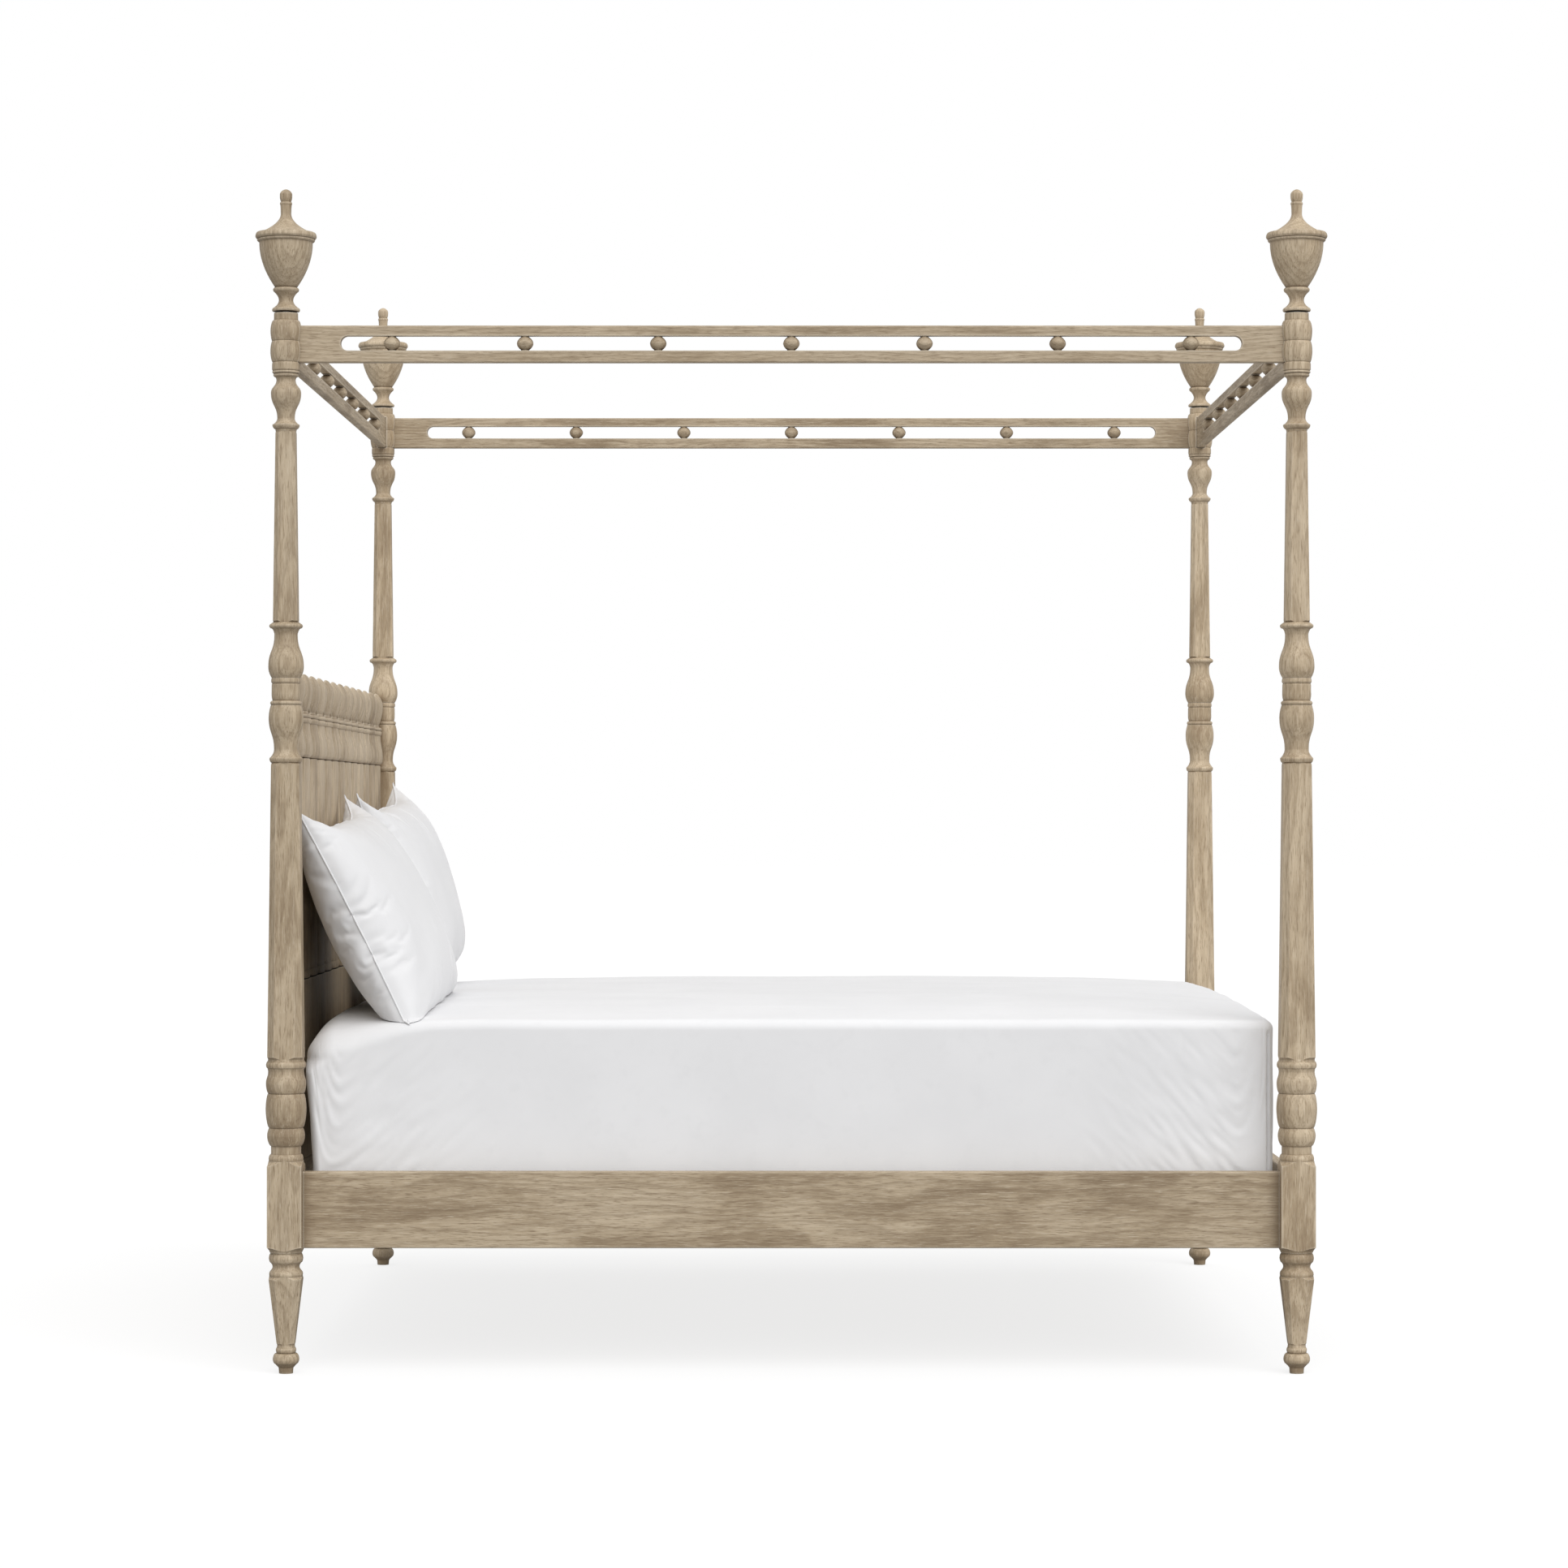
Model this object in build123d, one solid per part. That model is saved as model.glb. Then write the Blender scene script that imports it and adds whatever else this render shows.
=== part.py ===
from build123d import *
import math
import os

# A miniature four poster bed: a king-size bed at one twelfth scale, in millimetres.
# X runs from the head (minus) to the foot (plus), Y from the right side (minus) to the left side
# (plus) as the sleeper lies, and Z is up from the floor. The origin is under the middle of the bed.

# ---- driving sizes ----
LENGTH = 176.9            # head posts to foot posts, centre to centre
WIDTH = 169.5             # right posts to left posts, centre to centre
POST_X = LENGTH / 2
POST_Y = WIDTH / 2
FIT = 0.03                # glue gap round a tenon, on each side
SOFT_GAP = 0.3            # air between a soft solid and its neighbours

# ---- heights of the post ----
LEG_BOTTOM = 4.8
LEG_TOP = 17.0
BLOCK_BOTTOM = 21.2
BLOCK_TOP = 37.2
LOWER_SHAFT_BOTTOM = 54.9
LOWER_SHAFT_TOP = 107.0
POST_JOINT = 121.7
UPPER_SHAFT_BOTTOM = 131.2
UPPER_SHAFT_TOP = 165.0
POST_TOP = 185.5
FINIAL_BASE = 185.8

# ---- post widths ----
BLOCK = 6.0               # square block that takes the low rails
BLOCK_CORNER = 4.25       # turning radius just outside the corners of that block
LEG_HALF = (1.5, 2.9)     # half width of each square shaft, at its bottom and at its top
LOWER_SHAFT_HALF = (3.08, 2.45)
UPPER_SHAFT_HALF = (2.15, 1.73)
CHAMFER_SHARE = 0.4       # corner chamfer of a square shaft, as a share of its half width
SHOULDER = 0.5            # height in which the corners of a shaft fade into the turning
SHOULDER_SHARE = 1.02     # radius of the turning where a shaft starts, as a share of its half width
CORNER_MARGIN = 0.03      # how far the turning clears a shaft's corners, in the same way
LAP = 0.2                 # how far each turned stretch runs into the square one beside it
ROUNDNESS = 0.45          # how full the quarter-round mouldings are
SPIGOT_RADIUS = 1.2       # round tenon that joins the upper post to the lower one
SPIGOT_LENGTH = 5.8
PIN_RADIUS = 0.6          # steel pin that carries a finial
PIN_BELOW_FINIAL = 4.2    # how far the pin reaches down from the base of the finial
PIN_IN_FINIAL = 3.0
PIN_CLEARANCE = 0.05

# ---- low rails ----
RAIL_THICK = 2.15
RAIL_BOTTOM = 21.9
RAIL_TOP = 35.3
RAIL_RECESS = 2.5         # outer face of a rail behind the outer face of the block
RAIL_EDGE = 0.25          # eased long edges
TENON_THICK = 1.1
TENON_LONG = 1.8
TENON_SHOULDER = 2.2      # tenon lower than the rail, at top and at bottom

# ---- ledgers and slats ----
LEDGER_THICK = 2.0
LEDGER_HIGH = 2.6
LEDGER_LONG = 164.0
SLAT_THICK = 1.2
SLAT_WIDE = 8.0
SLAT_TOP = 30.0
SLAT_COUNT = 9
SLAT_PITCH = 18.8
SLAT_CLEARANCE = 0.1

# ---- headboard ----
SPINDLE_COUNT = 14
HEAD_RAIL_X = -(POST_X + 0.95)     # the head rail and the panels stand behind the post axes
PANEL_BACK = -(POST_X + 1.85)
PANEL_FRONT = -(POST_X + 0.75)
PANEL_IN_POST = 1.4       # how far a panel edge enters the post shaft, beside its axis
PANEL_TOP = 122.6
SPLIT_HEIGHT = 67.9       # lower panel below this height, separate spindles above it
SPINDLE_TOP = 123.4
SPINDLE_RELIEF = 1.36     # how far the fullest part of a spindle stands out of the panel
SPINDLE_SPREAD = 1.4      # width a spindle is drawn at, before it is cut, as a share of its place
REED_DEPTH = 0.9
REED_GAP = 0.02
JOINT_STEP = 0.2          # the lower reeds stop this far under the spindles
BULB_REACH = 3.65         # keeps the lower reeds off the turned bulbs of the posts

# ---- canopy rails ----
CANOPY_BOTTOM = 176.8
CANOPY_TOP = 183.3
CANOPY_THICK = 1.7
CANOPY_END = 1.25         # rail end to post axis, inside the post
CANOPY_EDGE = 0.3
SLOT_BOTTOM = 178.9
SLOT_TOP = 181.5
SLOT_TO_POST = 9.6        # end of the slot to the post axis, long rails
SLOT_TO_POST_END = 15.2   # the same on the end rails
BEAD_COUNT = 7
BEAD_PITCH_LONG = 23.3
BEAD_PITCH_END = 21.9
BEAD_RADIUS = 1.45
BEAD_NECK = 0.7
BEAD_FLAT = 0.15          # short straight stretch at each end of a bead

# ---- bedding ----
MATTRESS_HEAD = -86.0     # head end and foot end of the mattress
MATTRESS_FOOT = 84.9
MATTRESS_WIDE = 162.0
MATTRESS_TOP = 61.5
MATTRESS_CORNER = 5.0
MATTRESS_EDGE = 2.5
PILLOW_WIDE = 73.0
PILLOW_GAP = 6.0          # between the two pillows
PILLOW_ROUND = 2.5
PILLOW_BASE = MATTRESS_TOP + SOFT_GAP
PILLOW_SECTION = [        # X and Z round the side of a pillow, from the back of its base
    (-76.0, PILLOW_BASE), (-66.5, PILLOW_BASE), (-62.8, 68.0), (-64.2, 78.5), (-73.0, 94.5),
    (-83.5, 101.5), (-87.0, 97.5), (-86.6, 84.0),
]

CORNERS = {
    "head_right": (-1, -1),
    "head_left": (-1, 1),
    "foot_right": (1, -1),
    "foot_left": (1, 1),
}

# Turned outlines, from the bottom up. Each row is (way, height, radius), and the ways are:
# line = straight; sweep = S curve, upright at both ends; swell and tuck = quarter rounds that
# leave level or arrive level; rise and fall = open curves that arrive upright or leave upright.
FOOT_OUTLINE = [
    ("start", 0.0, 1.22), ("line", 1.0, 1.3), ("line", 1.7, 1.95), ("swell", 2.5, 2.32),
    ("tuck", 3.5, 1.85), ("line", 3.6, 1.62), ("swell", 4.1, 1.78), ("tuck", 4.5, 1.62),
    ("line", LEG_BOTTOM + LAP, 1.55),
]
KNEE_OUTLINE = [
    ("start", LEG_TOP - LAP, 2.8), ("rise", 17.4, 2.95), ("sweep", 18.7, 2.36), ("fall", 19.4, 2.7),
    ("swell", 20.2, 3.0), ("tuck", 20.95, 2.75), ("line", BLOCK_BOTTOM + LAP, 2.7),
]
BLOCK_OUTLINE = [
    ("start", BLOCK_BOTTOM, 2.85), ("tuck", BLOCK_BOTTOM + 1.0, BLOCK_CORNER),
    ("line", BLOCK_TOP - 0.8, BLOCK_CORNER), ("swell", BLOCK_TOP, 3.1),
]
BULB_OUTLINE = [
    ("start", BLOCK_TOP - LAP, 2.98), ("line", 37.6, 3.03), ("tuck", 38.4, 2.62), ("line", 39.8, 2.62),
    ("swell", 41.6, 3.3), ("fall", 43.0, 2.95), ("swell", 46.3, 3.56), ("tuck", 49.0, 3.08),
    ("swell", 50.7, 3.51), ("sweep", 52.8, 3.13), ("tuck", 53.5, 3.36), ("swell", 54.0, 3.48),
    ("tuck", 54.6, 3.2), ("line", LOWER_SHAFT_BOTTOM + LAP, 3.1),
]
COLLAR_OUTLINE = [
    ("start", LOWER_SHAFT_TOP - LAP, 2.5), ("swell", 107.5, 2.89), ("tuck", 107.8, 2.7),
    ("rise", 109.2, 2.1), ("sweep", 114.7, 3.03), ("fall", 116.9, 2.66), ("line", 116.92, 2.55),
    ("swell", 117.3, 2.76), ("tuck", 117.7, 2.35), ("rise", 118.8, 2.52), ("line", 120.4, 2.5),
    ("tuck", 120.7, 2.38), ("swell", 121.1, 2.6), ("tuck", POST_JOINT, 2.45),
]
VASE_OUTLINE = [
    ("start", POST_JOINT, 2.52), ("rise", 123.6, 3.1), ("sweep", 129.2, 2.03), ("tuck", 130.35, 2.6),
    ("swell", 130.75, 2.92), ("tuck", 131.1, 2.7), ("line", UPPER_SHAFT_BOTTOM + LAP, 2.3),
]
HEAD_OUTLINE = [
    ("start", UPPER_SHAFT_TOP - LAP, 1.8), ("line", 165.2, 1.88), ("swell", 165.9, 2.38),
    ("tuck", 166.1, 2.15), ("rise", 167.1, 1.53), ("sweep", 171.5, 2.63), ("sweep", 173.8, 1.68),
    ("tuck", 174.35, 1.98), ("swell", 174.65, 2.22), ("tuck", 174.9, 2.08), ("swell", 175.15, 2.4),
    ("tuck", 175.4, 2.26), ("swell", 175.7, 2.44), ("line", 176.5, 2.44), ("tuck", 176.9, 2.32),
    ("swell", 178.8, 2.73), ("tuck", 180.6, 2.4), ("swell", 182.4, 2.71), ("tuck", 184.2, 2.25),
    ("line", 184.25, 2.12), ("line", POST_TOP, 2.1),
]
FINIAL_OUTLINE = [
    ("start", FINIAL_BASE, 2.32), ("swell", 186.05, 2.44), ("tuck", 186.4, 2.2), ("rise", 187.75, 1.26),
    ("fall", 189.25, 2.1), ("swell", 189.6, 2.27), ("tuck", 190.0, 1.9), ("rise", 197.9, 4.66),
    ("line", 198.0, 4.8), ("swell", 198.3, 5.05), ("tuck", 198.45, 4.95), ("swell", 198.9, 5.34),
    ("tuck", 199.6, 5.0), ("line", 199.7, 4.2), ("rise", 202.9, 0.92), ("fall", 204.5, 1.0),
    ("swell", 204.65, 1.07), ("tuck", 205.0, 0.88), ("rise", 205.9, 1.08), ("line", 206.3, 1.08),
    ("tuck", 207.2, 0.0),
]
# BLOCK_OUTLINE is what the corners of the square block are rounded to, at its bottom and its top.
# The front of a headboard spindle: here the radius is how far it stands out of the panel. Across, it
# is drawn wider than its place and then cut to it, which leaves shallow valleys between spindles.
SPINDLE_HALF = (WIDTH - BLOCK) / SPINDLE_COUNT / 2 - REED_GAP
SPINDLE_OUTLINE = [
    ("start", SPLIT_HEIGHT, 0.86), ("swell", SPLIT_HEIGHT + 0.7, 1.0), ("tuck", SPLIT_HEIGHT + 1.4, 0.84),
    ("rise", SPLIT_HEIGHT + 2.2, 0.92), ("line", 107.8, 0.92), ("tuck", 108.1, 0.7),
    ("swell", 109.0, 1.3), ("rise", 109.7, SPINDLE_RELIEF), ("sweep", 114.4, 0.92),
    ("swell", 115.0, 1.16), ("tuck", 115.4, 0.95), ("swell", 115.8, 1.16), ("tuck", 116.2, 0.7),
    ("line", 116.6, 0.6), ("rise", 120.8, SPINDLE_RELIEF), ("tuck", SPINDLE_TOP, 0.0),
]


# ---- helpers ----
def put(shape, name):
    """Write one named piece."""
    export_step(shape, f"parts/{name}.step")


def stretch_of_outline(way, r0, z0, r1, z1):
    """One edge of a turned outline, in the XZ plane."""
    dr, dz, middle = r1 - r0, z1 - z0, (z0 + z1) / 2
    if way == "line":
        return Line((r0, 0, z0), (r1, 0, z1))
    if way == "sweep":
        inner = [(r0, middle), (r1, middle)]
    elif way == "swell":
        inner = [(r0 + ROUNDNESS * dr, z0), (r1, z1 - ROUNDNESS * dz)]
    elif way == "tuck":
        inner = [(r0, z0 + ROUNDNESS * dz), (r1 - ROUNDNESS * dr, z1)]
    elif way == "rise":
        inner = [(r1, middle)]
    else:
        inner = [(r0, middle)]
    points = [(r0, z0), *inner, (r1, z1)]
    return Bezier(*[(r, 0, z) for r, z in points])


def turned(outline):
    """A solid turned about Z from an outline."""
    _, bottom, first = outline[0]
    edges = [Line((0, 0, bottom), (first, 0, bottom))]
    r0, z0 = first, bottom
    for way, z1, r1 in outline[1:]:
        edges.append(stretch_of_outline(way, r0, z0, r1, z1))
        r0, z0 = r1, z1
    if r0 > 0:
        edges.append(Line((r0, 0, z0), (0, 0, z0)))
    edges.append(Line((0, 0, z0), (0, 0, bottom)))
    return revolve(Face(Wire(edges)), axis=Axis.Z)


def block(size_x, size_y, bottom, top, x=0.0, y=0.0):
    """A box given by its size in plan, its two heights and the centre of its plan."""
    return Pos(x, y, (bottom + top) / 2) * Box(size_x, size_y, top - bottom)


def rod(radius, bottom, top, x=0.0, y=0.0):
    """An upright round rod between two heights."""
    return Pos(x, y, (bottom + top) / 2) * Cylinder(radius, top - bottom)


def square_shaft(bottom, top, halves):
    """A tapered square shaft with chamfered corners that fade out at both turned ends."""
    half_bottom, half_top = halves
    sections = []
    for z, half in ((bottom, half_bottom), (top, half_top)):
        outline = Rectangle(2 * half, 2 * half)
        outline = chamfer(outline.vertices(), CHAMFER_SHARE * half)
        sections.append(Pos(0, 0, z) * outline)
    corner = math.hypot(1, 1 - CHAMFER_SHARE) + CORNER_MARGIN
    envelope = turned([
        ("start", bottom, SHOULDER_SHARE * half_bottom),
        ("tuck", bottom + SHOULDER, corner * half_bottom),
        ("line", top - SHOULDER, corner * half_top),
        ("swell", top, SHOULDER_SHARE * half_top),
    ])
    return loft(sections) & envelope


# ---- posts ----
def rail_mortises(side_x, side_y):
    """The two rail mortises of one post block, about the post axis."""
    tenon_bottom = RAIL_BOTTOM + TENON_SHOULDER - FIT
    tenon_top = RAIL_TOP - TENON_SHOULDER + FIT
    long = TENON_LONG + FIT
    reach = BLOCK / 2 - long / 2
    thick = TENON_THICK + 2 * FIT
    side_rail_y = side_y * (side_rail_offset() - POST_Y)
    end_rail_x = end_rail_centre(side_x) - side_x * POST_X
    cut = block(long, thick, tenon_bottom, tenon_top, -side_x * reach, side_rail_y)
    return cut + block(thick, long, tenon_bottom, tenon_top, end_rail_x, -side_y * reach)


def side_rail_offset():
    """Distance of a side rail's middle from the bed's middle."""
    return POST_Y + BLOCK / 2 - RAIL_RECESS - RAIL_THICK / 2


def end_rail_centre(side_x):
    """X of the middle of the head rail or the foot rail."""
    if side_x < 0:
        return HEAD_RAIL_X
    return POST_X + BLOCK / 2 - RAIL_RECESS - RAIL_THICK / 2


def headboard_groove(side_y):
    """The groove down a head post that takes the edges of the headboard panels."""
    thick = PANEL_FRONT - PANEL_BACK + 2 * FIT
    centre = (PANEL_FRONT + PANEL_BACK) / 2 + POST_X
    deep = BLOCK
    offset = -side_y * (PANEL_IN_POST - FIT + deep / 2)
    return block(thick, deep, RAIL_TOP - FIT, PANEL_TOP + FIT, centre, offset)


def lower_post(side_x, side_y):
    """Foot, tapered leg, rail block, turned bulbs, square shaft and collar, as one turning."""
    post = turned(FOOT_OUTLINE)
    post += square_shaft(LEG_BOTTOM, LEG_TOP, LEG_HALF)
    post += turned(KNEE_OUTLINE)
    post += block(BLOCK, BLOCK, BLOCK_BOTTOM, BLOCK_TOP) & turned(BLOCK_OUTLINE)
    post += turned(BULB_OUTLINE)
    post += square_shaft(LOWER_SHAFT_BOTTOM, LOWER_SHAFT_TOP, LOWER_SHAFT_HALF)
    post += turned(COLLAR_OUTLINE)
    post -= rail_mortises(side_x, side_y)
    post -= rod(SPIGOT_RADIUS + FIT, POST_JOINT - SPIGOT_LENGTH - FIT, POST_JOINT)
    if side_x < 0:
        post -= headboard_groove(side_y)
    return post


def upper_post(side_x, side_y):
    """Spigot, vase, square shaft and the turned head that carries the canopy rails."""
    post = rod(SPIGOT_RADIUS, POST_JOINT - SPIGOT_LENGTH, POST_JOINT + LAP)
    post += turned(VASE_OUTLINE)
    post += square_shaft(UPPER_SHAFT_BOTTOM, UPPER_SHAFT_TOP, UPPER_SHAFT_HALF)
    post += turned(HEAD_OUTLINE)
    thick = CANOPY_THICK + 2 * FIT
    reach = BLOCK
    offset = CANOPY_END - FIT + reach / 2
    low, high = CANOPY_BOTTOM - FIT, CANOPY_TOP + FIT
    post -= block(reach, thick, low, high, -side_x * offset, 0)
    post -= block(thick, reach, low, high, 0, -side_y * offset)
    post -= rod(PIN_RADIUS + PIN_CLEARANCE, FINIAL_BASE - PIN_BELOW_FINIAL, POST_TOP)
    if side_x < 0:
        post -= headboard_groove(side_y)
    return post


def make_posts():
    """Four posts, each with its own finial and the pin the finial stands on."""
    finial = turned(FINIAL_OUTLINE) - rod(PIN_RADIUS, FINIAL_BASE, FINIAL_BASE + PIN_IN_FINIAL)
    pin = rod(PIN_RADIUS, FINIAL_BASE - PIN_BELOW_FINIAL, FINIAL_BASE + PIN_IN_FINIAL)
    for corner, (side_x, side_y) in CORNERS.items():
        place = Pos(side_x * POST_X, side_y * POST_Y, 0)
        put(place * lower_post(side_x, side_y), f"lower_post_{corner}")
        put(place * upper_post(side_x, side_y), f"upper_post_{corner}")
        put(place * finial, f"finial_{corner}")
        put(place * pin, f"finial_pin_{corner}")


# ---- low rails, ledgers and slats ----
def low_rail(long):
    """A plain rail along X with a tenon at each end, its long edges eased."""
    board = block(long, RAIL_THICK, RAIL_BOTTOM, RAIL_TOP)
    board = fillet(board.edges().filter_by(Axis.X), RAIL_EDGE)
    tenon = block(long + 2 * TENON_LONG, TENON_THICK, RAIL_BOTTOM + TENON_SHOULDER,
                  RAIL_TOP - TENON_SHOULDER)
    return board + tenon


def make_low_rails():
    """Two side rails, the head rail and the foot rail."""
    side_rail = low_rail(LENGTH - BLOCK)
    end_rail = Rot(0, 0, 90) * low_rail(WIDTH - BLOCK)
    put(Pos(0, -side_rail_offset(), 0) * side_rail, "side_rail_right")
    put(Pos(0, side_rail_offset(), 0) * side_rail, "side_rail_left")
    put(Pos(end_rail_centre(-1), 0, 0) * end_rail, "head_rail")
    put(Pos(end_rail_centre(1), 0, 0) * end_rail, "foot_rail")


def make_slats():
    """A ledger inside each side rail, and the slats that lie across the two ledgers."""
    inner_face = side_rail_offset() - RAIL_THICK / 2
    ledger_top = SLAT_TOP - SLAT_THICK
    ledger = block(LEDGER_LONG, LEDGER_THICK, ledger_top - LEDGER_HIGH, ledger_top)
    ledger_y = inner_face - LEDGER_THICK / 2
    put(Pos(0, -ledger_y, 0) * ledger, "slat_ledger_right")
    put(Pos(0, ledger_y, 0) * ledger, "slat_ledger_left")
    slat = block(SLAT_WIDE, 2 * (inner_face - SLAT_CLEARANCE), ledger_top, SLAT_TOP)
    slat = fillet(slat.edges().filter_by(Axis.Y), RAIL_EDGE)
    for i in range(SLAT_COUNT):
        x = (i - (SLAT_COUNT - 1) / 2) * SLAT_PITCH
        put(Pos(x, 0, 0) * slat, f"slat_{i + 1:02d}")


# ---- headboard ----
def spindle_places():
    """Y of each spindle, from the right side to the left."""
    pitch = (WIDTH - BLOCK) / SPINDLE_COUNT
    return [(i - (SPINDLE_COUNT - 1) / 2) * pitch for i in range(SPINDLE_COUNT)]


def spindle_place(bottom, top):
    """The box that one spindle or reed may fill, in front of the panel and beside its neighbours."""
    return block(2 * SPINDLE_RELIEF, 2 * SPINDLE_HALF, bottom, top, SPINDLE_RELIEF)


def make_headboard():
    """A reeded lower panel, a plain upper panel, and split spindles along the upper panel."""
    thick = PANEL_FRONT - PANEL_BACK
    centre = (PANEL_FRONT + PANEL_BACK) / 2
    wide = WIDTH - 2 * PANEL_IN_POST
    drawn = SPINDLE_SPREAD * SPINDLE_HALF
    reed = scale(rod(1, RAIL_TOP, SPLIT_HEIGHT - JOINT_STEP), by=(REED_DEPTH, drawn, 1))
    reed &= spindle_place(RAIL_TOP, SPLIT_HEIGHT)
    clear = block(BLOCK, 2 * (POST_Y - BULB_REACH), RAIL_TOP, SPLIT_HEIGHT, PANEL_FRONT)
    lower = block(thick, wide, RAIL_TOP, SPLIT_HEIGHT, centre)
    for y in spindle_places():
        lower += (Pos(PANEL_FRONT, y, 0) * reed) & clear
    put(lower, "headboard_lower_panel")
    put(block(thick, wide, SPLIT_HEIGHT, PANEL_TOP, centre), "headboard_upper_panel")
    spindle = scale(turned(SPINDLE_OUTLINE), by=(1, drawn / SPINDLE_RELIEF, 1))
    spindle &= spindle_place(SPLIT_HEIGHT, SPINDLE_TOP)
    for i, y in enumerate(spindle_places()):
        put(Pos(PANEL_FRONT, y, 0) * spindle, f"head_spindle_{i + 1:02d}")


# ---- canopy ----
def canopy_rail(axis_span, slot_to_post):
    """A rail along X with a long round-ended slot through it."""
    long = axis_span - 2 * CANOPY_END
    board = block(long, CANOPY_THICK, CANOPY_BOTTOM, CANOPY_TOP)
    board = fillet(board.edges().filter_by(Axis.X), CANOPY_EDGE)
    slot_high = SLOT_TOP - SLOT_BOTTOM
    slot_face = Plane.XZ * SlotOverall(axis_span - 2 * slot_to_post, slot_high)
    slot = Pos(0, 0, (SLOT_BOTTOM + SLOT_TOP) / 2) * extrude(slot_face, CANOPY_THICK, both=True)
    return board - slot


def bead_row(pitch):
    """Turned beads that stand in the slot of a canopy rail, one solid each."""
    middle = (SLOT_BOTTOM + SLOT_TOP) / 2
    bead = turned([
        ("start", SLOT_BOTTOM, BEAD_NECK), ("line", SLOT_BOTTOM + BEAD_FLAT, BEAD_NECK),
        ("rise", middle, BEAD_RADIUS), ("fall", SLOT_TOP - BEAD_FLAT, BEAD_NECK),
        ("line", SLOT_TOP, BEAD_NECK),
    ])
    places = [(i - (BEAD_COUNT - 1) / 2) * pitch for i in range(BEAD_COUNT)]
    return Compound([Pos(x, 0, 0) * bead for x in places])


def make_canopy():
    """Four slotted canopy rails, each with its row of beads."""
    for side, side_y in (("right", -1), ("left", 1)):
        place = Pos(0, side_y * POST_Y, 0)
        put(place * canopy_rail(LENGTH, SLOT_TO_POST), f"canopy_rail_{side}")
        put(place * bead_row(BEAD_PITCH_LONG), f"canopy_beads_{side}")
    for end, side_x in (("head", -1), ("foot", 1)):
        place = Pos(side_x * POST_X, 0, 0) * Rot(0, 0, 90)
        put(place * canopy_rail(WIDTH, SLOT_TO_POST_END), f"canopy_rail_{end}")
        put(place * bead_row(BEAD_PITCH_END), f"canopy_beads_{end}")


# ---- bedding ----
def make_mattress():
    """A plain closed solid for the mattress."""
    centre = (MATTRESS_HEAD + MATTRESS_FOOT) / 2
    slab = block(MATTRESS_FOOT - MATTRESS_HEAD, MATTRESS_WIDE, SLAT_TOP, MATTRESS_TOP, centre)
    slab = fillet(slab.edges().filter_by(Axis.Z), MATTRESS_CORNER)
    rims = slab.faces().sort_by(Axis.Z)[-1].edges() + slab.faces().sort_by(Axis.Z)[0].edges()
    put(fillet(rims, MATTRESS_EDGE), "mattress")


def make_pillows():
    """A plain closed solid for each pillow, leaning back on the headboard."""
    section = make_face(Polyline(*[(x, 0, z) for x, z in PILLOW_SECTION], close=True))
    section = fillet(section.vertices(), PILLOW_ROUND)
    pillow = extrude(section, PILLOW_WIDE / 2, both=True)
    offset = (PILLOW_WIDE + PILLOW_GAP) / 2
    put(Pos(0, -offset, 0) * pillow, "pillow_right")
    put(Pos(0, offset, 0) * pillow, "pillow_left")


os.makedirs("parts", exist_ok=True)
make_posts()
make_low_rails()
make_slats()
make_headboard()
make_canopy()
make_mattress()
make_pillows()
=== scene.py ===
import math

import bpy
import numpy as np
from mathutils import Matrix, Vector, noise


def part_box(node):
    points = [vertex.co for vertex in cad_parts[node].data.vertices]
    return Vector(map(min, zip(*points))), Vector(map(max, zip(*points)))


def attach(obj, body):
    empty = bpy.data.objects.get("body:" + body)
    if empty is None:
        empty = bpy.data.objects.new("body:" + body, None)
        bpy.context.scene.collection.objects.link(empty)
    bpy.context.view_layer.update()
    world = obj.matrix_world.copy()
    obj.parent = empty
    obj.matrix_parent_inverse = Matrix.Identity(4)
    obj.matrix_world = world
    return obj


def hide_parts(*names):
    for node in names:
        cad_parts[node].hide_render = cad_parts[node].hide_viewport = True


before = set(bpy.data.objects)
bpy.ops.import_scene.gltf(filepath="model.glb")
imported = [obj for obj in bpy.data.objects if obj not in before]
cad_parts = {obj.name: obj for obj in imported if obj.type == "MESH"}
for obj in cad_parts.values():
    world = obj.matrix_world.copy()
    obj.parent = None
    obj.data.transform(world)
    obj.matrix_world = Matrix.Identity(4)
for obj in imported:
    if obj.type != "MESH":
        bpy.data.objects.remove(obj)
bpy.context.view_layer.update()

# The miniature four poster bed, dressed for rendering. Everything is in metres, in the CAD's frame:
# X from head to foot, Y from the sleeper's right to left, Z up from the floor.

MM = 0.001

# ---- looks: linear colours ----
OAK_BASE = (0.420, 0.328, 0.217)
OAK_LIGHT = (0.572, 0.473, 0.342)
OAK_LIME = (0.670, 0.588, 0.462)
OAK_DARK = (0.210, 0.147, 0.086)
# painted shade for the deepest creases, standing also for dark wax
OAK_CREASE_SHADE_AND_WAX = (0.075, 0.046, 0.024)
RING_PITCH = 0.8 * MM           # one year's growth
RING_WAVER = 9.0                # how far the rings stray from round, in years' growth
PITH_OFFSET = (-0.008, 0.023)   # heart of the tree from the middle of a post, in X and Y
PINE_BASE = (0.560, 0.420, 0.250)
COTTON = (0.80, 0.80, 0.81)
STEEL = (0.50, 0.49, 0.47)

# ---- how bright single pieces are beside the plain colours above ----
PILLOW_TONE = 0.97
PANEL_TONE = 1.16
# Partly each post's own tone, partly painted light: the far posts are painted paler for the light and
# haze around them.
POST_TONES_AND_LIGHT = {"head_right": 1.03, "foot_right": 1.18, "head_left": 1.22, "foot_left": 1.26}

SOFT_NODES = ("mattress", "pillow_right", "pillow_left")   # the CAD solids that fabric replaces

# ---- camera: a level lens at the height of the middle of the bed ----
SENSOR = 36.0
LENS = 93.5
CAMERA = (0.0, -0.7976, 0.0990)
SHIFT = (-0.0047, 0.0150)

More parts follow.
